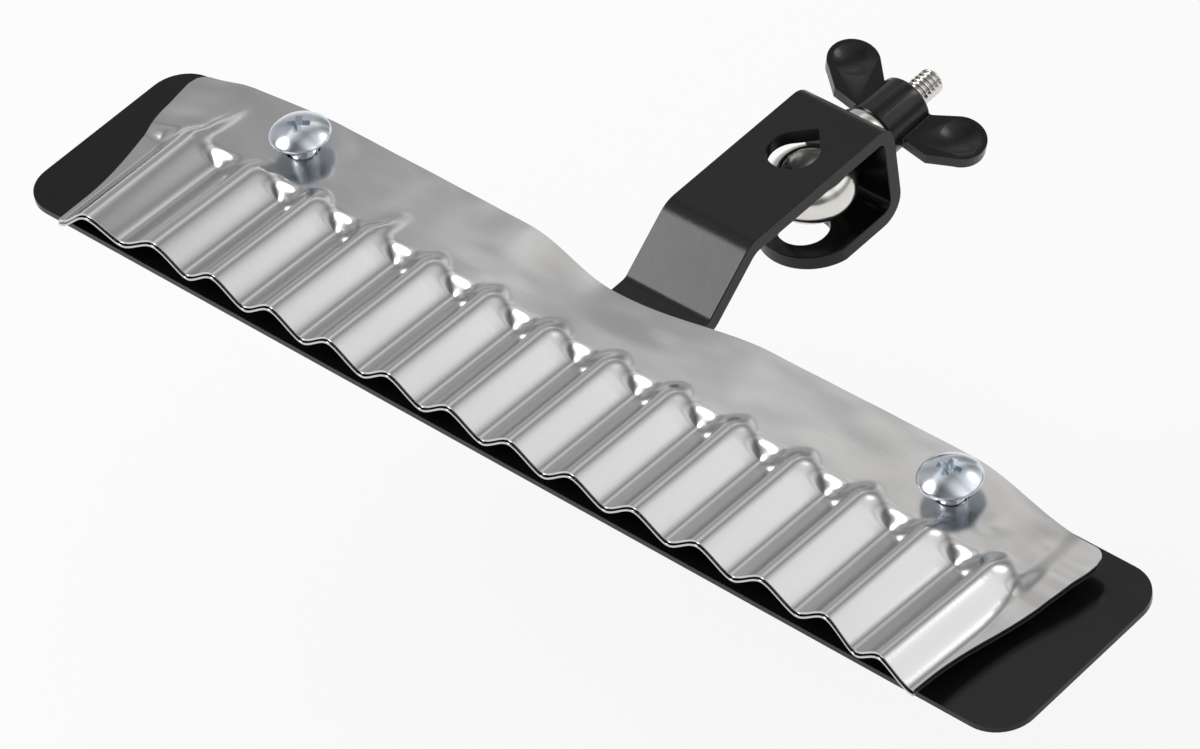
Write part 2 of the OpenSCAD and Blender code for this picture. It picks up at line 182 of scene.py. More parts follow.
def finishTree(graph, given, geometry):
    geometry = graph.get("GeometryNodeRealizeInstances", {}, {0: geometry})
    geometry = graph.get("GeometryNodeSetMaterial", {}, {"Geometry": geometry, "Material": given["Finish"]})
    graph.add("NodeGroupOutput", {}, {0: geometry})


# Finishes

def newFinish(name, metallic, roughness, specular=0.5):
    finish = bpy.data.materials.new(name)
    finish.use_nodes = True
    graph = Graph(finish.node_tree)
    shader = finish.node_tree.nodes["Principled BSDF"]
    shader.inputs["Metallic"].default_value = metallic
    shader.inputs["Specular IOR Level"].default_value = specular
    shader.inputs["Roughness"].default_value = roughness
    where = graph.get("ShaderNodeTexCoord", {}, {}, 3)
    return finish, graph, shader, where


def join(graph, shader, **links):
    for name, value in links.items():
        graph.tree.links.new(value.socket, shader.inputs[name.replace("_", " ")])


steelLook = {
    "clean": (0.63, 0.63, 0.632, 1),
    "dull": (0.57, 0.57, 0.57, 1),
    "roughness": 0.2,
    "patchScale": 45.0,
    "patchRoughness": 0.06,
    "streakScale": 1600.0,
    "streakStretch": (0.15, 1.0, 1.0),
    "streakRoughness": 0.05,
    "grain": 0.05,
    "grainHeight": 0.0002,
}
paintLook = {
    "peelScale": 900.0,
    "peelHeight": 0.0003,
    "cloudScale": 60.0,
    "cloudShade": 0.75,
    "cloudRoughness": 0.05,
}
platingLook = {"cloudScale": 240.0, "cloudShade": 0.8}


def sheetSteel(look):
    finish, graph, shader, where = newFinish("sheetSteel", 1.0, look["roughness"])
    patches = graph.noise(where, look["patchScale"], 3.0)
    rolled = graph.get("ShaderNodeMapping", {}, {"Vector": where, "Scale": look["streakStretch"]})
    streaks = graph.noise(rolled, look["streakScale"], 2.0)
    smoothest = look["roughness"] - look["streakRoughness"]
    join(graph, shader, Base_Color=graph.colourMix(patches, look["clean"], look["dull"]),
         Roughness=patches * look["patchRoughness"] + streaks * look["streakRoughness"] + smoothest)
    bump = graph.get("ShaderNodeBump", {}, {
        "Height": streaks, "Strength": look["grain"], "Distance": look["grainHeight"]})
    join(graph, shader, Normal=bump)
    return finish


# Satin black paint with a faint orange peel
def blackPaint(name, colour, roughness, specular, peel):
    finish, graph, shader, where = newFinish(name, 0.0, roughness, specular)
    look = paintLook
    fine = graph.noise(where, look["peelScale"], 2.0)
    broad = graph.noise(where, look["cloudScale"], 2.0)
    darker = tuple(c * look["cloudShade"] for c in colour)
    bump = graph.get("ShaderNodeBump", {}, {"Height": fine, "Strength": peel, "Distance": look["peelHeight"]})
    join(graph, shader, Base_Color=graph.colourMix(broad, (*colour, 1), (*darker, 1)),
         Roughness=broad * look["cloudRoughness"] + (roughness - look["cloudRoughness"] / 2), Normal=bump)
    return finish


def platedMetal(name, colour, roughness, specks):
    finish, graph, shader, where = newFinish(name, 1.0, roughness)
    cloud = graph.noise(where, platingLook["cloudScale"], 3.0)
    darker = tuple(c * platingLook["cloudShade"] for c in colour)
    join(graph, shader, Base_Color=graph.colourMix(cloud, (*colour, 1), (*darker, 1)),
         Roughness=cloud * specks + (roughness - specks / 2))
    return finish


finishes = {
    "sheet_steel": sheetSteel(steelLook),
    "black_plate": blackPaint("plateBlack", (0.0055, 0.0055, 0.006), roughness=0.2, specular=0.28, peel=0.05),
    "black_strap": blackPaint("strapBlack", (0.0030, 0.0031, 0.0036), roughness=0.25, specular=0.30, peel=0.08),
    "black_nut": blackPaint("nutBlack", (0.0030, 0.0031, 0.0035), roughness=0.2, specular=0.4, peel=0.08),
    "zinc_screw": platedMetal("screwZinc", (0.80, 0.86, 0.92), roughness=0.2, specks=0.1),
    "zinc_nut": platedMetal("nutZinc", (0.60, 0.63, 0.66), roughness=0.32, specks=0.1),
    # the cross recess walls: a dark blue-grey zinc, painted shade for the inside of the recess
    "recess": platedMetal("recessPaintedShade", (0.26, 0.33, 0.40), roughness=0.3, specks=0.1),
    "bright_plate": platedMetal("nickel", (0.80, 0.78, 0.74), roughness=0.18, specks=0.08),
}
print("finishes ready")


# Scraper sheets: one surface rule, drawn twice
sheetSizes = {
    "Ridges": 14.0,
    "Pitch": 17.6,
    "Ridge Depth": 4.7,
    "Ridge Length": 29.0,
    "Runout": 4.5,
    "Sharpness": 0.75,
    "Thickness": 0.55,
    "Crown": 4.95,
    "Hump": 0.65,
    "Front Lift": 1.1,
    "Right Front Lift": 1.65,
    "Right Corner Level": 5.3,
    "Flare": 7.9,
    "Left Lean": 3.4,
    "Corner Radius": 4.0,
    "Drop": 0.0,
    "Reveal": 0.0,
    "Nose": 3.5,
    "Swell": 0.7,
    "First Crease": 0.75,
    "Fourth Crease": 0.6,
    "Buckle": 0.8,
}
sheetGap = 0.4
lowerReveal = 0.4
# Pairs are for the left and the right, where no note says otherwise
sheetForm = {
    "endLength": 33.0,
    "flapFront": 0.3,
    "flapStarts": (7.0, 0.0),
    "frontInset": 0.2,
    "frontOverhangs": (1.6, 4.3),
    "backOverhang": 0.7,
    "cornerTrims": (1.5, 4.4),
    "humpShare": 0.6,
    "frontLimit": 1.2,  # the share of the front's lift that an overhang may reach
    "seatClearance": 0.1,
    "slopeReach": 10.0,
    "rightLean": 0.4,
    "leanEnd": 5.0,
    "gentleStart": (3.0, 1.0),  # before and past the last ridge's end
    "gentleReach": (12.0, 6.0),  # more rise before and behind the grooves' ends
    "dipPlace": -7.0,
    "dipReaches": (28.0, 44.0),
    "dipInward": 3.0,
    "dipDown": 3.3,
    "lobeLift": 0.9,
    "buckleSize": (23.0, 12.0),  # across, along
    "buckleSeed": 3.7,
    "buckleGrowths": (1.0, 2.5),
    "buckleFull": 14.0,  # from the plate's back edge
    "calmRoundScrew": (3.0, 14.0),  # past the hole's edge, from its centre
    "creaseStart": (2.0, 6.0),  # behind the ridges
    # order of the ridge, half width, length and slant of the two creases
    "firstCrease": (1, 1.5, 19.0, 0.2),
    "fourthCrease": (4, 1.7, 13.0, 0.2),
}
plateSizes = {"width": 53.0, "top": 3.5, "front": -106.3, "back": -53.3}
screwPlace = {"x": 93.5, "y": -63.0, "holeRadius": 4.075, "holeSides": 48, "drillLength": 50.0}
sheetGrid = {"flap": 12, "ridge": 30, "flat": 10, "runout": 26, "strip": 26}


def sheetTree():
    tree = bpy.data.node_groups.new("scraperSheet", "GeometryNodeTree")
    addSockets(tree, sheetSizes)
    graph = Graph(tree)
    source = graph.add("NodeGroupInput")
    given = {socket.name: Value(graph, socket) for socket in source.outputs if socket.name}
    ridgeColumns = int(sheetSizes["Ridges"]) * sheetGrid["ridge"]
    columns = ridgeColumns + 2 * sheetGrid["flap"]
    rows = sheetGrid["flat"] + sheetGrid["runout"] + sheetGrid["strip"]
    width = plateSizes["width"]
    form = sheetForm
    screwDepth = screwPlace["y"] - plateSizes["front"]

    grid = graph.get("GeometryNodeMeshGrid", {}, {0: 1.0, 1: 1.0, 2: columns + 1, 3: rows + 1})
    place = graph.add("ShaderNodeSeparateXYZ", {}, {0: graph.get("GeometryNodeInputPosition")})
    across = (Value(graph, place.outputs[0]) + 0.5) * columns
    along = (Value(graph, place.outputs[1]) + 0.5) * rows

    half = given["Ridges"] * given["Pitch"] * 0.5
    endStart = half - form["endLength"]
    left = graph.clamp((sheetGrid["flap"] - across) / sheetGrid["flap"], 0.0, 1.0)
    right = graph.clamp((across - (columns - sheetGrid["flap"])) / sheetGrid["flap"], 0.0, 1.0)
    base = graph.clamp(across - sheetGrid["flap"], 0.0, ridgeColumns) / ridgeColumns * half * 2.0 - half
    isRight = graph.maths("GREATER_THAN", base, 0.0)

    def pick(onLeft, onRight):
        return onLeft + (onRight - onLeft) * isRight

    def flap(start, depth):
        return graph.smooth(depth, start, width) * given["Flare"] + form["flapFront"]

    def nominalX(depth):
        leftStart, rightStart = form["flapStarts"]
        return base - left * flap(leftStart, depth) + right * flap(rightStart, depth)

    def endShare(x):
        return graph.smooth(graph.maths("ABSOLUTE", x), endStart, half)

    def dip(x):
        fromDip = x - form["dipPlace"]
        leftReach, rightReach = form["dipReaches"]
        reach = leftReach + graph.maths("GREATER_THAN", fromDip, 0.0) * (rightReach - leftReach)
        turn = graph.clamp(fromDip / reach, -1.0, 1.0) * math.pi
        return (graph.maths("COSINE", turn) + 1.0) * 0.5

    # where each row lies, counted from the plate's front edge
    rough = nominalX(given["Ridge Length"])
    inset, overhang = form["frontInset"], form["backOverhang"]
    frontRow = inset - given["Reveal"] - (pick(*form["frontOverhangs"]) + inset) * endShare(rough)
    fromEnd = (given["Flare"] + form["flapFront"]) * (1.0 - graph.maths("MAXIMUM", left, right))
    short = graph.maths("MAXIMUM", given["Corner Radius"] - fromEnd, 0.0)
    radius = given["Corner Radius"]
    cornerCut = radius - graph.maths("SQRT", radius * radius - short * short)
    backRow = (width + overhang - dip(rough) * form["dipInward"]
               - (pick(*form["cornerTrims"]) + overhang) * endShare(rough) - cornerCut)
    grooveEnd = given["Ridge Length"] + given["Runout"]
    runoutLength = given["Runout"] + given["Nose"]
    flatShare = graph.clamp(along / sheetGrid["flat"], 0.0, 1.0)
    runoutShare = graph.clamp((along - sheetGrid["flat"]) / sheetGrid["runout"], 0.0, 1.0)
    stripRow = along - sheetGrid["flat"] - sheetGrid["runout"]
    stripShare = graph.clamp(stripRow / sheetGrid["strip"], 0.0, 1.0)
    depth = (graph.mix(frontRow, given["Ridge Length"], flatShare) + runoutLength * runoutShare
             + (backRow - given["Ridge Length"] - runoutLength) * stripShare)

    # The surface above the plate
    x = nominalX(depth)
    away = graph.maths("ABSOLUTE", x)
    turns = (base / given["Pitch"] - (given["Ridges"] - 1.0) * 0.5) * (2.0 * math.pi)
    wave = (graph.maths("ARCSINE", graph.maths("COSINE", turns) * given["Sharpness"])
            / graph.maths("ARCSINE", given["Sharpness"]))
    openLevel = given["Crown"] + given["Hump"] * graph.smooth(away, 0.0, half * form["humpShare"])
    seatLevel = given["Thickness"] * 2.0 + sheetGap + form["seatClearance"]
    front = graph.clamp(1.0 - depth / given["Ridge Length"], 0.0, form["frontLimit"])
    leftMid = graph.mix(openLevel + given["Front Lift"] * front, seatLevel + given["Ridge Depth"] * 0.5,
                        graph.smooth(away, half - given["Pitch"], half))
    rightMid = openLevel + (given["Front Lift"] + given["Right Front Lift"] * endShare(x)) * front
    slopeStart = pick(half - form["slopeReach"], endStart)
    slopeEnd = pick(half + form["slopeReach"], half + given["Flare"] * 0.5)
    strip = graph.mix(openLevel, pick(seatLevel, given["Right Corner Level"]),
                      graph.smooth(away, slopeStart, slopeEnd))
    leftFade = pick(1.0 - endShare(x), 1.0)
    crest = wave * 0.5 + 0.5
    behind = depth - given["Ridge Length"]

    # Two crests go on as narrow creases that slant across the strip
    def crease(order, halfWidth, length, slant):
        aside = (base + half - given["Pitch"] * (order - 0.5) - behind * slant) / halfWidth
        return (graph.maths("EXPONENT", -(aside * aside)) * graph.smooth(behind, *form["creaseStart"])
                * (1.0 - graph.smooth(behind, length * 0.5, length)))

    creases = (given["First Crease"] * crease(*form["firstCrease"])
               + given["Fourth Crease"] * crease(*form["fourthCrease"]))
    nose = given["Nose"] * crest ** 1.5
    # the right flap rises gently where the grooves rise in a step
    beforeEnd, pastEnd = form["gentleStart"]
    gentle = graph.smooth(x, half - beforeEnd, half + pastEnd)
    reachBefore, reachBehind = form["gentleReach"]
    fadeStart = given["Ridge Length"] - gentle * reachBefore
    fade = graph.smooth(depth, fadeStart, grooveEnd + gentle * reachBehind)
    waveFade = graph.smooth(depth, fadeStart, grooveEnd + nose + gentle * reachBehind)
    stripPart = graph.maths("MAXIMUM", behind / (width + overhang - given["Ridge Length"]), 0.0)
    acrossSize, alongSize = form["buckleSize"]
    wander = graph.get("ShaderNodeCombineXYZ", {}, {
        0: x / acrossSize, 1: depth / alongSize, 2: form["buckleSeed"]})
    settled = graph.smooth(depth, given["Ridge Length"], width - form["buckleFull"])
    # the buckles die away under the screw heads
    fromScrew = graph.maths("SQRT", (away - screwPlace["x"]) * (away - screwPlace["x"])
                            + (depth - screwDepth) * (depth - screwDepth))
    calmInside, calmOutside = form["calmRoundScrew"]
    settled = settled * graph.smooth(fromScrew, screwPlace["holeRadius"] + calmInside, calmOutside)
    growth = pick(*form["buckleGrowths"]) * endShare(x) + 1.0
    buckle = (graph.noise(wander, 1.0, 1.0) - 0.5) * given["Buckle"] * settled * growth
    height = (graph.mix(pick(leftMid, rightMid), strip, fade)
              + given["Ridge Depth"] * 0.5 * wave * (1.0 - waveFade)
              + given["Swell"] * leftFade * (1.0 - gentle) * fade * (1.0 - graph.clamp(stripPart, 0.0, 1.0))
              + (leftFade * form["lobeLift"] - dip(x) * form["dipDown"]) * stripPart ** 1.5
              + buckle + creases)

    lean = pick(given["Left Lean"], form["rightLean"]) * graph.smooth(away, endStart, half - form["leanEnd"])
    leaning = x - lean
    spot = graph.get("ShaderNodeCombineXYZ", {}, {
        0: leaning * mm,
        1: (depth + plateSizes["front"]) * mm,
        2: (height + plateSizes["top"] - given["Drop"]) * mm,
    })
    top = graph.get("GeometryNodeSetPosition", {}, {"Geometry": grid, "Position": spot})

    # Thickness straight down, with the under side and the edges turned to face outwards
    down = graph.get("ShaderNodeCombineXYZ", {}, {0: 0.0, 1: 0.0, 2: -1.0})
    wall = graph.add("GeometryNodeExtrudeMesh", {"mode": "FACES"}, {
        "Mesh": top, "Offset": down, "Offset Scale": given["Thickness"] * mm, "Individual": False})
    under = graph.get("GeometryNodeFlipFaces", {}, {0: Value(graph, wall.outputs["Mesh"])})
    shell = graph.get("GeometryNodeJoinGeometry", {}, {0: [top, under]})
    shell = graph.get("GeometryNodeMergeByDistance", {}, {"Geometry": shell, "Distance": 1e-6})
    shell = graph.get("GeometryNodeSetShadeSmooth", {}, {"Geometry": shell, "Shade Smooth": True})
    shell = graph.get("GeometryNodeSetShadeSmooth", {"domain": "EDGE"}, {
        "Geometry": shell, "Selection": Value(graph, wall.outputs["Side"]), "Shade Smooth": False})

    drill = graph.get("GeometryNodeMeshCylinder", {}, {
        "Vertices": screwPlace["holeSides"], "Radius": screwPlace["holeRadius"] * mm,
        "Depth": screwPlace["drillLength"] * mm})
    drills = [graph.get("GeometryNodeTransform", {}, {
        "Geometry": drill, "Translation": (side * screwPlace["x"] * mm, screwPlace["y"] * mm, 0.0)})
        for side in (-1, 1)]
    drilled = graph.get("GeometryNodeMeshBoolean", {"operation": "DIFFERENCE", "solver": "EXACT"}, {
        "Mesh 1": shell, "Mesh 2": graph.get("GeometryNodeJoinGeometry", {}, {0: drills})})
    finishTree(graph, given, drilled)
    return tree


scraperTree = sheetTree()
upperSizes = {**sheetSizes, "Finish": finishes["sheet_steel"]}
lowerSizes = {**upperSizes, "Drop": sheetSizes["Thickness"] + sheetGap, "Reveal": lowerReveal}
upperSheet = grow("upperSheet", scraperTree, upperSizes)
lowerSheet = grow("lowerSheet", scraperTree, lowerSizes)
print("sheets ready:", len(upperSheet.data.polygons), "faces each")


# Threads: a helix cut into a closed rod that stands on the origin along +Z
threadSizes = {
    "Major Radius": 3.17,
    "Minor Radius": 2.55,
    "Pitch": 1.27,
    "Length": 20.0,
    "Chamfer": 0.8,
    "Root": 1.0,
}
threadGrid = {"around": 48, "perTurn": 10}
threadFlank = {"steepness": 1.5, "rootFlat": 0.2}


def threadTree(length):
    tree = bpy.data.node_groups.new("thread", "GeometryNodeTree")
    addSockets(tree, threadSizes)
    graph = Graph(tree)
    source = graph.add("NodeGroupInput")
    given = {socket.name: Value(graph, socket) for socket in source.outputs if socket.name}
    rows = int(length / threadSizes["Pitch"] * threadGrid["perTurn"])
    grid = graph.get("GeometryNodeMeshGrid", {}, {0: 1.0, 1: 1.0, 2: threadGrid["around"] + 1, 3: rows + 1})
    place = graph.add("ShaderNodeSeparateXYZ", {}, {0: graph.get("GeometryNodeInputPosition")})
    turn = Value(graph, place.outputs[0]) + 0.5
    along = Value(graph, place.outputs[1])
    # the first and the last row close the ends on the axis
    rise = graph.clamp((along + 0.5) * (rows / (rows - 2.0)) - 1.0 / (rows - 2.0), 0.0, 1.0)
    inside = graph.maths("LESS_THAN", graph.maths("ABSOLUTE", along), 0.5 - 0.5 / rows)
    z = rise * given["Length"]
    phase = graph.maths("FRACT", z / given["Pitch"] - turn + 8.0)
    flank = graph.maths("ABSOLUTE", phase * 2.0 - 1.0) * threadFlank["steepness"]
    ridge = graph.clamp(flank - threadFlank["rootFlat"], 0.0, 1.0)
    started = graph.smooth(z, given["Root"], given["Root"] + given["Pitch"])
    radius = graph.mix(given["Minor Radius"], given["Major Radius"], ridge * started + (1.0 - started))
    tip = given["Major Radius"] - given["Chamfer"] + (given["Length"] - z)
    radius = graph.maths("MINIMUM", radius, tip) * inside * mm
    angle = turn * (2.0 * math.pi)
    spot = graph.get("ShaderNodeCombineXYZ", {}, {
        0: graph.maths("COSINE", angle) * radius, 1: graph.maths("SINE", angle) * radius, 2: z * mm})
    rod = graph.get("GeometryNodeSetPosition", {}, {"Geometry": grid, "Position": spot})
    rod = graph.get("GeometryNodeMergeByDistance", {}, {"Geometry": rod, "Distance": 1e-6})
    rod = graph.get("GeometryNodeSetShadeSmooth", {}, {"Geometry": rod, "Shade Smooth": True})
    finishTree(graph, given, rod)
    return tree


def threadedRod(name, length, finish, **changes):
    rod = grow(name, threadTree(length), {**threadSizes, "Length": length, **changes, "Finish": finish})
    outward(rod.data)
    return rod


def outward(mesh):
    shape = bmesh.new()
    shape.from_mesh(mesh)
    bmesh.ops.remove_doubles(shape, verts=shape.verts, dist=1e-7)
    bmesh.ops.recalc_face_normals(shape, faces=shape.faces)
    shape.to_mesh(mesh)
    shape.free()


# A closed body of revolution about Z from (radius, height) pairs in millimetres
def turned(name, outline, steps=96, closed=False):
    shape = bmesh.new()
    points = [shape.verts.new((r * mm, 0.0, z * mm)) for r, z in outline]
    pairs = list(zip(points, points[1:] + points[:1])) if closed else list(zip(points, points[1:]))
    edges = [shape.edges.new(pair) for pair in pairs]
    bmesh.ops.spin(shape, geom=points + edges, cent=(0, 0, 0), axis=(0, 0, 1), angle=2 * math.pi, steps=steps)
    bmesh.ops.remove_doubles(shape, verts=shape.verts, dist=1e-7)
    bmesh.ops.recalc_face_normals(shape, faces=shape.faces)
    mesh = bpy.data.meshes.new(name)
    shape.to_mesh(mesh)
    shape.free()
    return addObject(name, mesh)


def smoothBy(piece, angle):
    piece.data.shade_smooth()
    piece.data.set_sharp_from_angle(angle=math.radians(angle))


def rounded(corners, radii, steps=6):
    # rounds each corner of a closed outline by its own radius
    outline = []
    for i, (corner, radius) in enumerate(zip(corners, radii)):
        here = Vector(corner)
        if radius <= 0:
            outline.append(tuple(here))
            continue
        before = (Vector(corners[i - 1]) - here).normalized()
        after = (Vector(corners[(i + 1) % len(corners)]) - here).normalized()
        angle = before.angle(after)
        reach = radius / math.tan(angle / 2)
        centre = here + (before + after).normalized() * radius / math.sin(angle / 2)
        start, end = here + before * reach - centre, here + after * reach - centre
        sweep = start.angle_signed(end)
        for k in range(steps + 1):
            outline.append(tuple(centre + Matrix.Rotation(-sweep * k / steps, 2) @ start))
    return outline


def fuse(name, pieces):
    shape = bmesh.new()
    for piece in pieces:
        mesh = piece.data
        mesh.transform(piece.matrix_world)
        shape.from_mesh(mesh)
        bpy.data.objects.remove(piece)
    mesh = bpy.data.meshes.new(name)
    shape.to_mesh(mesh)
    shape.free()
    return addObject(name, mesh)


def cutWith(piece, cutter):
    modifier = piece.modifiers.new("cut", "BOOLEAN")
    modifier.operation, modifier.solver, modifier.object = "DIFFERENCE", "EXACT", cutter
    settle(piece)
    bpy.data.objects.remove(cutter)
    return piece


def dressed(piece, *slots):
    piece.data.materials.clear()
    for slot in slots:
        piece.data.materials.append(finishes[slot])
    return piece


# Truss head screws with a cross recess
screwSizes = {
    "headRadius": 7.1,
    "headHeight": 3.4,
    "rim": 0.6,
    "rimInset": 0.06,
    "underEdge": ((0.5, 0.0), (0.2, 0.05), (0.04, 0.2), (0.0, 0.42)),  # inset, height
    "domeSteps": 16,
    "seat": 13.9,
    "tip": -5.4,
    "shankInset": 0.3,
    "shankRoot": 0.5,
    "recessReach": 3.0,
    "recessHalf": 0.85,
    "recessDepth": 2.1,
    "mouthRise": 0.6,
    "mouthShares": (1.14, 1.1),  # of the reach, of the half width
    "floorShares": (0.5, 0.62),
    "turns": (38.0, 14.0),
}


def headOutline(sizes):
    radius, rim, height = sizes["headRadius"], sizes["rim"], sizes["headHeight"]
    dome = height - rim
    domeRadius = (radius * radius + dome * dome) / (2 * dome)
    rimRadius, steps = radius - sizes["rimInset"], sizes["domeSteps"]
    low = [(0.0, 0.0)] + [(radius - inset, z) for inset, z in sizes["underEdge"]] + [(rimRadius, rim)]
    arc = math.asin(rimRadius / domeRadius)
    angles = [arc * (1 - k / steps) for k in range(1, steps + 1)]
    return low + [(domeRadius * math.sin(a), height - domeRadius * (1 - math.cos(a))) for a in angles]


def crossRecess(sizes):
    # four tapered wings that narrow towards the floor
    shape = bmesh.new()
    reach, half, depth = sizes["recessReach"], sizes["recessHalf"], sizes["recessDepth"]
    levels = [(sizes["headHeight"] + sizes["mouthRise"], *sizes["mouthShares"]),
              (sizes["headHeight"] - depth, *sizes["floorShares"])]
    rings = []
    for level, long, wide in levels:
        ring = []
        for k in range(4):
            turn = Matrix.Rotation(k * math.pi / 2, 2)
            for out, aside in ((half * wide, half), (reach * long, half), (reach * long, -half)):
                spot = turn @ Vector((out, -aside * wide))
                ring.append(shape.verts.new((spot.x * mm, spot.y * mm, level * mm)))
        rings.append(ring)
    shape.faces.new(rings[0])
    shape.faces.new(rings[1])
    count = len(rings[0])
    for k in range(count):
        shape.faces.new((rings[0][k], rings[0][(k + 1) % count], rings[1][(k + 1) % count], rings[1][k]))
    bmesh.ops.recalc_face_normals(shape, faces=shape.faces)
    # the recess walls take the second slot, the darker zinc that paints the shade inside the recess
    for face in shape.faces:
        face.material_index = 1
    mesh = bpy.data.meshes.new("recess")
    shape.to_mesh(mesh)
    shape.free()
    return dressed(addObject("recess", mesh), "zinc_screw", "recess")


def sheetScrew(name, side, turn, sizes):
    # the head's second slot is the darker recess zinc, painted shade in the cross recess
    blank = dressed(turned(name + "Head", headOutline(sizes), steps=96), "zinc_screw", "recess")
    head = cutWith(blank, crossRecess(sizes))
    smoothBy(head, angle=35)
    head.data.transform(Matrix.Rotation(math.radians(turn), 4, "Z"))
    head.data.transform(Matrix.Translation((0, 0, sizes["seat"] * mm)))
    # the shank grows from inside the head down, so its tip is the rod's far end
    start = sizes["seat"] + sizes["shankInset"]
    shank = threadedRod(name + "Shank", start - sizes["tip"], finishes["zinc_screw"], Root=sizes["shankRoot"])
    shank.data.transform(Matrix.Translation((0, 0, start * mm)) @ Matrix.Rotation(math.pi, 4, "X"))
    screw = dressed(fuse(name, [head, shank]), "zinc_screw", "recess")
    screw.data.transform(Matrix.Translation((side * screwPlace["x"] * mm, screwPlace["y"] * mm, 0)))
    return screw


leftScrew = sheetScrew("leftScrew", -1, screwSizes["turns"][0], screwSizes)
rightScrew = sheetScrew("rightScrew", 1, screwSizes["turns"][1], screwSizes)
print("screws ready")


# Eye bolt: ring, collar and threaded stud along +Y
eyeSizes = {
    "boreRadius": 6.1,
    "wall": 4.2,
    "height": 10.0,
    "innerCorner": 0.7,
    "rootInset": 1.0,
    "studRoot": 4.5,
    "studEnd": 42.0,
    "collarRadius": 4.075,
    "collarEnd": 10.4,
    "collarChamfer": 0.3,
}


def eyeBolt(sizes):
    inner, outer = sizes["boreRadius"], sizes["boreRadius"] + sizes["wall"]
    half = sizes["height"] / 2
    start = inner + sizes["innerCorner"]
    angles = [math.pi * k / 24 for k in range(-12, 13)]
    bulge = [(start + (outer - start) * math.cos(a), half * math.sin(a)) for a in angles]
    corners = [(inner, half), (inner, -half), (outer, -half), (outer, half)]
    inside = rounded(corners, [sizes["innerCorner"]] * 2 + [0, 0])
    ring = turned("ring", bulge + inside[:-2], steps=128, closed=True)
    root = inner + sizes["rootInset"]
    radius, end, chamfer = sizes["collarRadius"], sizes["collarEnd"], sizes["collarChamfer"]
    collarSide = [(0, root), (radius, root), (radius, end - chamfer), (radius - chamfer, end), (0, end)]
    collar = turned("collar", collarSide, steps=64)
    stud = threadedRod("stud", sizes["studEnd"] - root, finishes["bright_plate"], Root=sizes["studRoot"])
    stud.data.transform(Matrix.Translation((0, 0, root * mm)))
    for piece in (collar, stud):
        piece.data.transform(Matrix.Rotation(-math.pi / 2, 4, "X"))
    for piece in (ring, collar):
        smoothBy(piece, angle=40)
    return dressed(fuse("eyeBolt", [ring, collar, stud]), "bright_plate")


eyePiece = eyeBolt(eyeSizes)
print("eye bolt ready")


# A CAD piece with its hard edges eased
def eased(name, node, slot, width, segments=3, keep=30.0):
    shape = bmesh.new()
    shape.from_mesh(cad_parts[node].data)
    bmesh.ops.remove_doubles(shape, verts=shape.verts, dist=2e-6)
    bmesh.ops.dissolve_limit(shape, angle_limit=math.radians(0.4), verts=shape.verts, edges=shape.edges)
    mesh = bpy.data.meshes.new(name)
    shape.to_mesh(mesh)
    shape.free()
    piece = addObject(name, mesh)
    smoothBy(piece, keep)
    bevel = piece.modifiers.new("edges", "BEVEL")
    bevel.harden_normals = True
    bevel.width, bevel.segments = width * mm, segments
    bevel.limit_method, bevel.angle_limit = "ANGLE", math.radians(keep)
    return dressed(settle(piece), slot)


plate = eased("plate", "base_plate", "black_plate", width=0.3)
strap = eased("strap", "mounting_bracket", "black_strap", width=0.45)
wingNut = eased("wingNut", "wing_nut", "black_nut", width=0.45, keep=24.0)
clampWasher = eased("clampWasher", "clamp_washer", "bright_plate", width=0.15, segments=2)
print("plate, strap, wing nut and washer ready")


# What each piece rides on, stands for and takes its finish from
pieces = [
    (upperSheet, "sheets", "upper_scraper_sheet", "sheet_steel"),
    (lowerSheet, "sheets", "lower_scraper_sheet", "sheet_steel"),
    (leftScrew, "base", "left_sheet_screw", "zinc_screw"),
    (rightScrew, "base", "right_sheet_screw", "zinc_screw"),
    (eyePiece, "eye", "eye_bolt", "bright_plate"),
    (plate, "base", "base_plate", "black_plate"),
    (strap, "base", "mounting_bracket", "black_strap"),
    (wingNut, "nut", "wing_nut", "black_nut"),
    (clampWasher, "base", "clamp_washer", "bright_plate"),
]
for piece, body, node, slot in pieces:
    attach(piece, body)
    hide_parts(node)

# The other nodes are shown as they are, with their finishes
plainNodes = {
    "left_lock_washer": "zinc_nut", "right_lock_washer": "zinc_nut",
    "left_hex_nut": "zinc_nut", "right_hex_nut": "zinc_nut",
    "left_bracket_rivet": "black_strap", "right_bracket_rivet": "black_strap",
}
for node, slot in plainNodes.items():
    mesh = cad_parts[node].data
    mesh.materials.clear()
    mesh.materials.append(finishes[slot])


# Studio: pale floor, white surroundings, one soft box and a grey tent that only reflections see
studio = {
    "floorLevel": -0.11,
    "floorSize": 8.0,
    "floorColour": (0.86, 0.86, 0.86, 1),
    "floorGlow": 0.8,
    "worldLight": 0.8,
    "boxAim": (0.0, -0.04, 0.0),
    "boxDirection": (-0.54, -0.45, 0.70),
    "boxDistance": 0.95,
    "boxSize": 0.42,
    "boxRadiance": 4.5,
    # glows as reflections see them: turn and rise in degrees, spread in degrees, strength
    "glows": [((50, -27), 11.5, 12.0), ((116, 46), 7.5, 4.0)],
    "glowColour": (1, 0.99, 0.98, 1),
    # lighter and darker patches of the tent, with the share each one adds or takes
    "patches": [((45.5, 34), 4.2, 1.5), ((57, 36), 5.0, -0.55)],
    "tentRadius": 1.15,
    "tentCentre": (0.0, -0.08, 0.0),
    "tentTurn": (-25.0, 205.0),
    "tentRise": (-60.0, 80.0),
    "tentSteps": (2.5, 4.0),
    # fades over rise, and over turn for the front one, with the share each takes
    "farBack": {"rise": (50.0, 66.0), "share": 0.4},
    "front": {"rise": (-22.0, -2.0), "turn": (8.0, 26.0), "share": 0.7},
    "darkBand": {"rise": 15.0, "spread": 6.0, "share": 0.3},
}
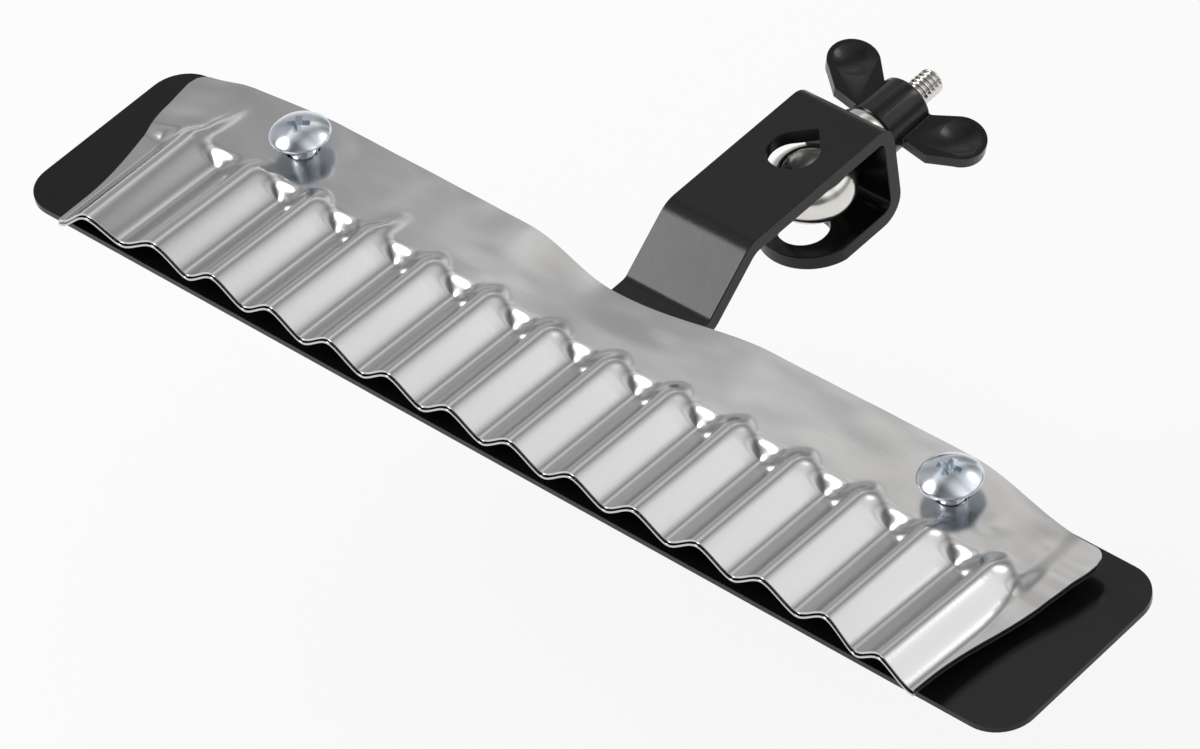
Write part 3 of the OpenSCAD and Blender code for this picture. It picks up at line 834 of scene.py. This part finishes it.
# (turn about Y from the left horizon in degrees, red, green, blue)
tentTones = [
    (-25, 0.85, 0.85, 0.84), (-8, 0.80, 0.80, 0.79), (2, 0.66, 0.66, 0.65), (12, 0.50, 0.50, 0.505),
    (42, 0.46, 0.46, 0.47), (50.8, 0.42, 0.42, 0.425), (53, 1.08, 1.075, 1.065), (58, 1.06, 1.05, 1.04),
    (65, 0.92, 0.905, 0.88), (71, 0.70, 0.69, 0.67), (77, 0.48, 0.475, 0.465), (83, 0.36, 0.36, 0.36),
    (90, 0.38, 0.38, 0.38), (94, 0.54, 0.54, 0.55), (99, 0.64, 0.64, 0.65), (108, 0.78, 0.78, 0.80),
    (117, 0.96, 0.96, 0.98), (124, 1.08, 1.08, 1.10), (136, 1.25, 1.25, 1.25), (150, 1.20, 1.20, 1.20),
    (162, 0.45, 0.45, 0.46), (205, 0.30, 0.30, 0.31),
]


def seenRay(graph):
    path = graph.add("ShaderNodeLightPath")
    camera, glossy, through = (Value(graph, path.outputs[name]) for name in
                               ("Is Camera Ray", "Is Glossy Ray", "Is Transmission Ray"))
    return graph.clamp(camera + glossy + through, 0.0, 1.0)


def addWorld(look):
    world = bpy.data.worlds.new("surroundings")
    world.use_nodes = True
    scene.world = world
    graph = Graph(world.node_tree)
    background = world.node_tree.nodes["Background"]
    background.inputs["Color"].default_value = (1, 1, 1, 1)
    seen = seenRay(graph)
    join(graph, background, Strength=seen + (1.0 - seen) * look["worldLight"])


def addFloor(look):
    half = look["floorSize"] / 2
    mesh = bpy.data.meshes.new("floor")
    corners = [(x * half, y * half, look["floorLevel"]) for x, y in ((-1, -1), (1, -1), (1, 1), (-1, 1))]
    mesh.from_pydata(corners, [], [(0, 1, 2, 3)])
    floor = addObject("floor", mesh)
    material = bpy.data.materials.new("floorPaper")
    material.use_nodes = True
    graph = Graph(material.node_tree)
    nodes = material.node_tree.nodes
    nodes.remove(nodes["Principled BSDF"])
    paper = graph.get("ShaderNodeBsdfDiffuse", {}, {"Color": look["floorColour"]})
    glow = graph.get("ShaderNodeEmission", {}, {"Color": (1, 1, 1, 1), "Strength": 1.0})
    blend = graph.get("ShaderNodeMixShader", {}, {0: seenRay(graph) * look["floorGlow"], 1: paper, 2: glow})
    graph.tree.links.new(blend.socket, nodes["Material Output"].inputs["Surface"])
    mesh.materials.append(material)


# The direction at a turn about Y from the left horizon and a rise towards the back
def towards(turn, rise):
    turn, rise = math.radians(turn), math.radians(rise)
    return Vector((-math.cos(turn) * math.cos(rise), math.sin(rise), math.sin(turn) * math.cos(rise)))


def addTent(look):
    centre = Vector(look["tentCentre"])
    (firstTurn, lastTurn), (firstRise, lastRise) = look["tentTurn"], look["tentRise"]
    turnStep, riseStep = look["tentSteps"]
    turns = [firstTurn + k * turnStep for k in range(int((lastTurn - firstTurn) / turnStep) + 1)]
    rises = [firstRise + k * riseStep for k in range(int((lastRise - firstRise) / riseStep) + 1)]
    radius = look["tentRadius"]
    spots = [centre + radius * towards(t, r) for r in rises for t in turns]
    across = len(turns)
    faces = [(j * across + i, j * across + i + 1, (j + 1) * across + i + 1, (j + 1) * across + i)
             for j in range(len(rises) - 1) for i in range(across - 1)]
    mesh = bpy.data.meshes.new("tent")
    mesh.from_pydata(spots, [], faces)
    tent = addObject("tent", mesh)
    material = bpy.data.materials.new("tentCloth")
    material.use_nodes = True
    graph = Graph(material.node_tree)
    nodes = material.node_tree.nodes
    nodes.remove(nodes["Principled BSDF"])
    where = graph.get("ShaderNodeTexCoord", {}, {}, 3)
    split = graph.add("ShaderNodeSeparateXYZ", {}, {0: where})
    x, y, z = (Value(graph, split.outputs[k]) for k in range(3))
    low, high = tentTones[0][0], tentTones[-1][0]
    degrees = 180.0 / math.pi
    turn = graph.maths("ARCTAN2", z - centre.z, -(x - centre.x)) * degrees
    top = max(max(tone[1:]) for tone in tentTones)
    stops = [((tone[0] - low) / (high - low), tuple(c / top for c in tone[1:])) for tone in tentTones]
    colour = graph.get("ShaderNodeValToRGB", {"stops": stops}, {0: (turn - low) / (high - low)})
    rise = graph.maths("ARCSINE", (y - centre.y) / radius) * degrees
    # darker towards the front and the far back, with a dark band across the back
    farBack, front, band = look["farBack"], look["front"], look["darkBand"]
    toBack = graph.smooth(rise, *farBack["rise"])
    toFront = (1.0 - graph.smooth(rise, *front["rise"])) * graph.smooth(turn, *front["turn"])
    dark = graph.maths("EXPONENT", -(((rise - band["rise"]) / band["spread"]) ** 2.0))

    def near(place, spread):
        aim = towards(*place)
        along = ((x - centre.x) * aim.x + (y - centre.y) * aim.y + (z - centre.z) * aim.z) / radius
        apart = graph.maths("ARCCOSINE", graph.clamp(along, -1.0, 1.0)) * (degrees / spread)
        return graph.maths("EXPONENT", -(apart ** 3.0))

    spot, patch = 0.0, 1.0
    for place, spread, bright in look["glows"]:
        spot = near(place, spread) * bright + spot
    for place, spread, share in look["patches"]:
        patch = near(place, spread) * share + patch
    fades = (1.0 - toBack * farBack["share"]) * (1.0 - toFront * front["share"])
    strength = fades * (1.0 - dark * band["share"]) * top * patch
    glow = graph.get("ShaderNodeEmission", {}, {"Color": colour, "Strength": strength})
    lit = graph.get("ShaderNodeEmission", {}, {"Color": look["glowColour"], "Strength": spot})
    both = graph.get("ShaderNodeAddShader", {}, {0: glow, 1: lit})
    graph.tree.links.new(both.socket, nodes["Material Output"].inputs["Surface"])
    mesh.materials.append(material)
    for ray in ("camera", "diffuse", "transmission", "shadow", "volume_scatter"):
        setattr(tent, "visible_" + ray, False)


def addSoftBox(look):
    lamp = bpy.data.lights.new("softBox", "AREA")
    lamp.shape, lamp.size = "SQUARE", look["boxSize"]
    lamp.energy = look["boxRadiance"] * math.pi * look["boxSize"] ** 2
    holder = bpy.data.objects.new("softBox", lamp)
    scene.collection.objects.link(holder)
    aim = Vector(look["boxDirection"]).normalized()
    holder.location = Vector(look["boxAim"]) + aim * look["boxDistance"]
    holder.rotation_euler = aim.to_track_quat("Z", "Y").to_euler()
    holder.visible_camera = holder.visible_glossy = False


addWorld(studio)
addFloor(studio)
addTent(studio)
addSoftBox(studio)
print("studio ready")
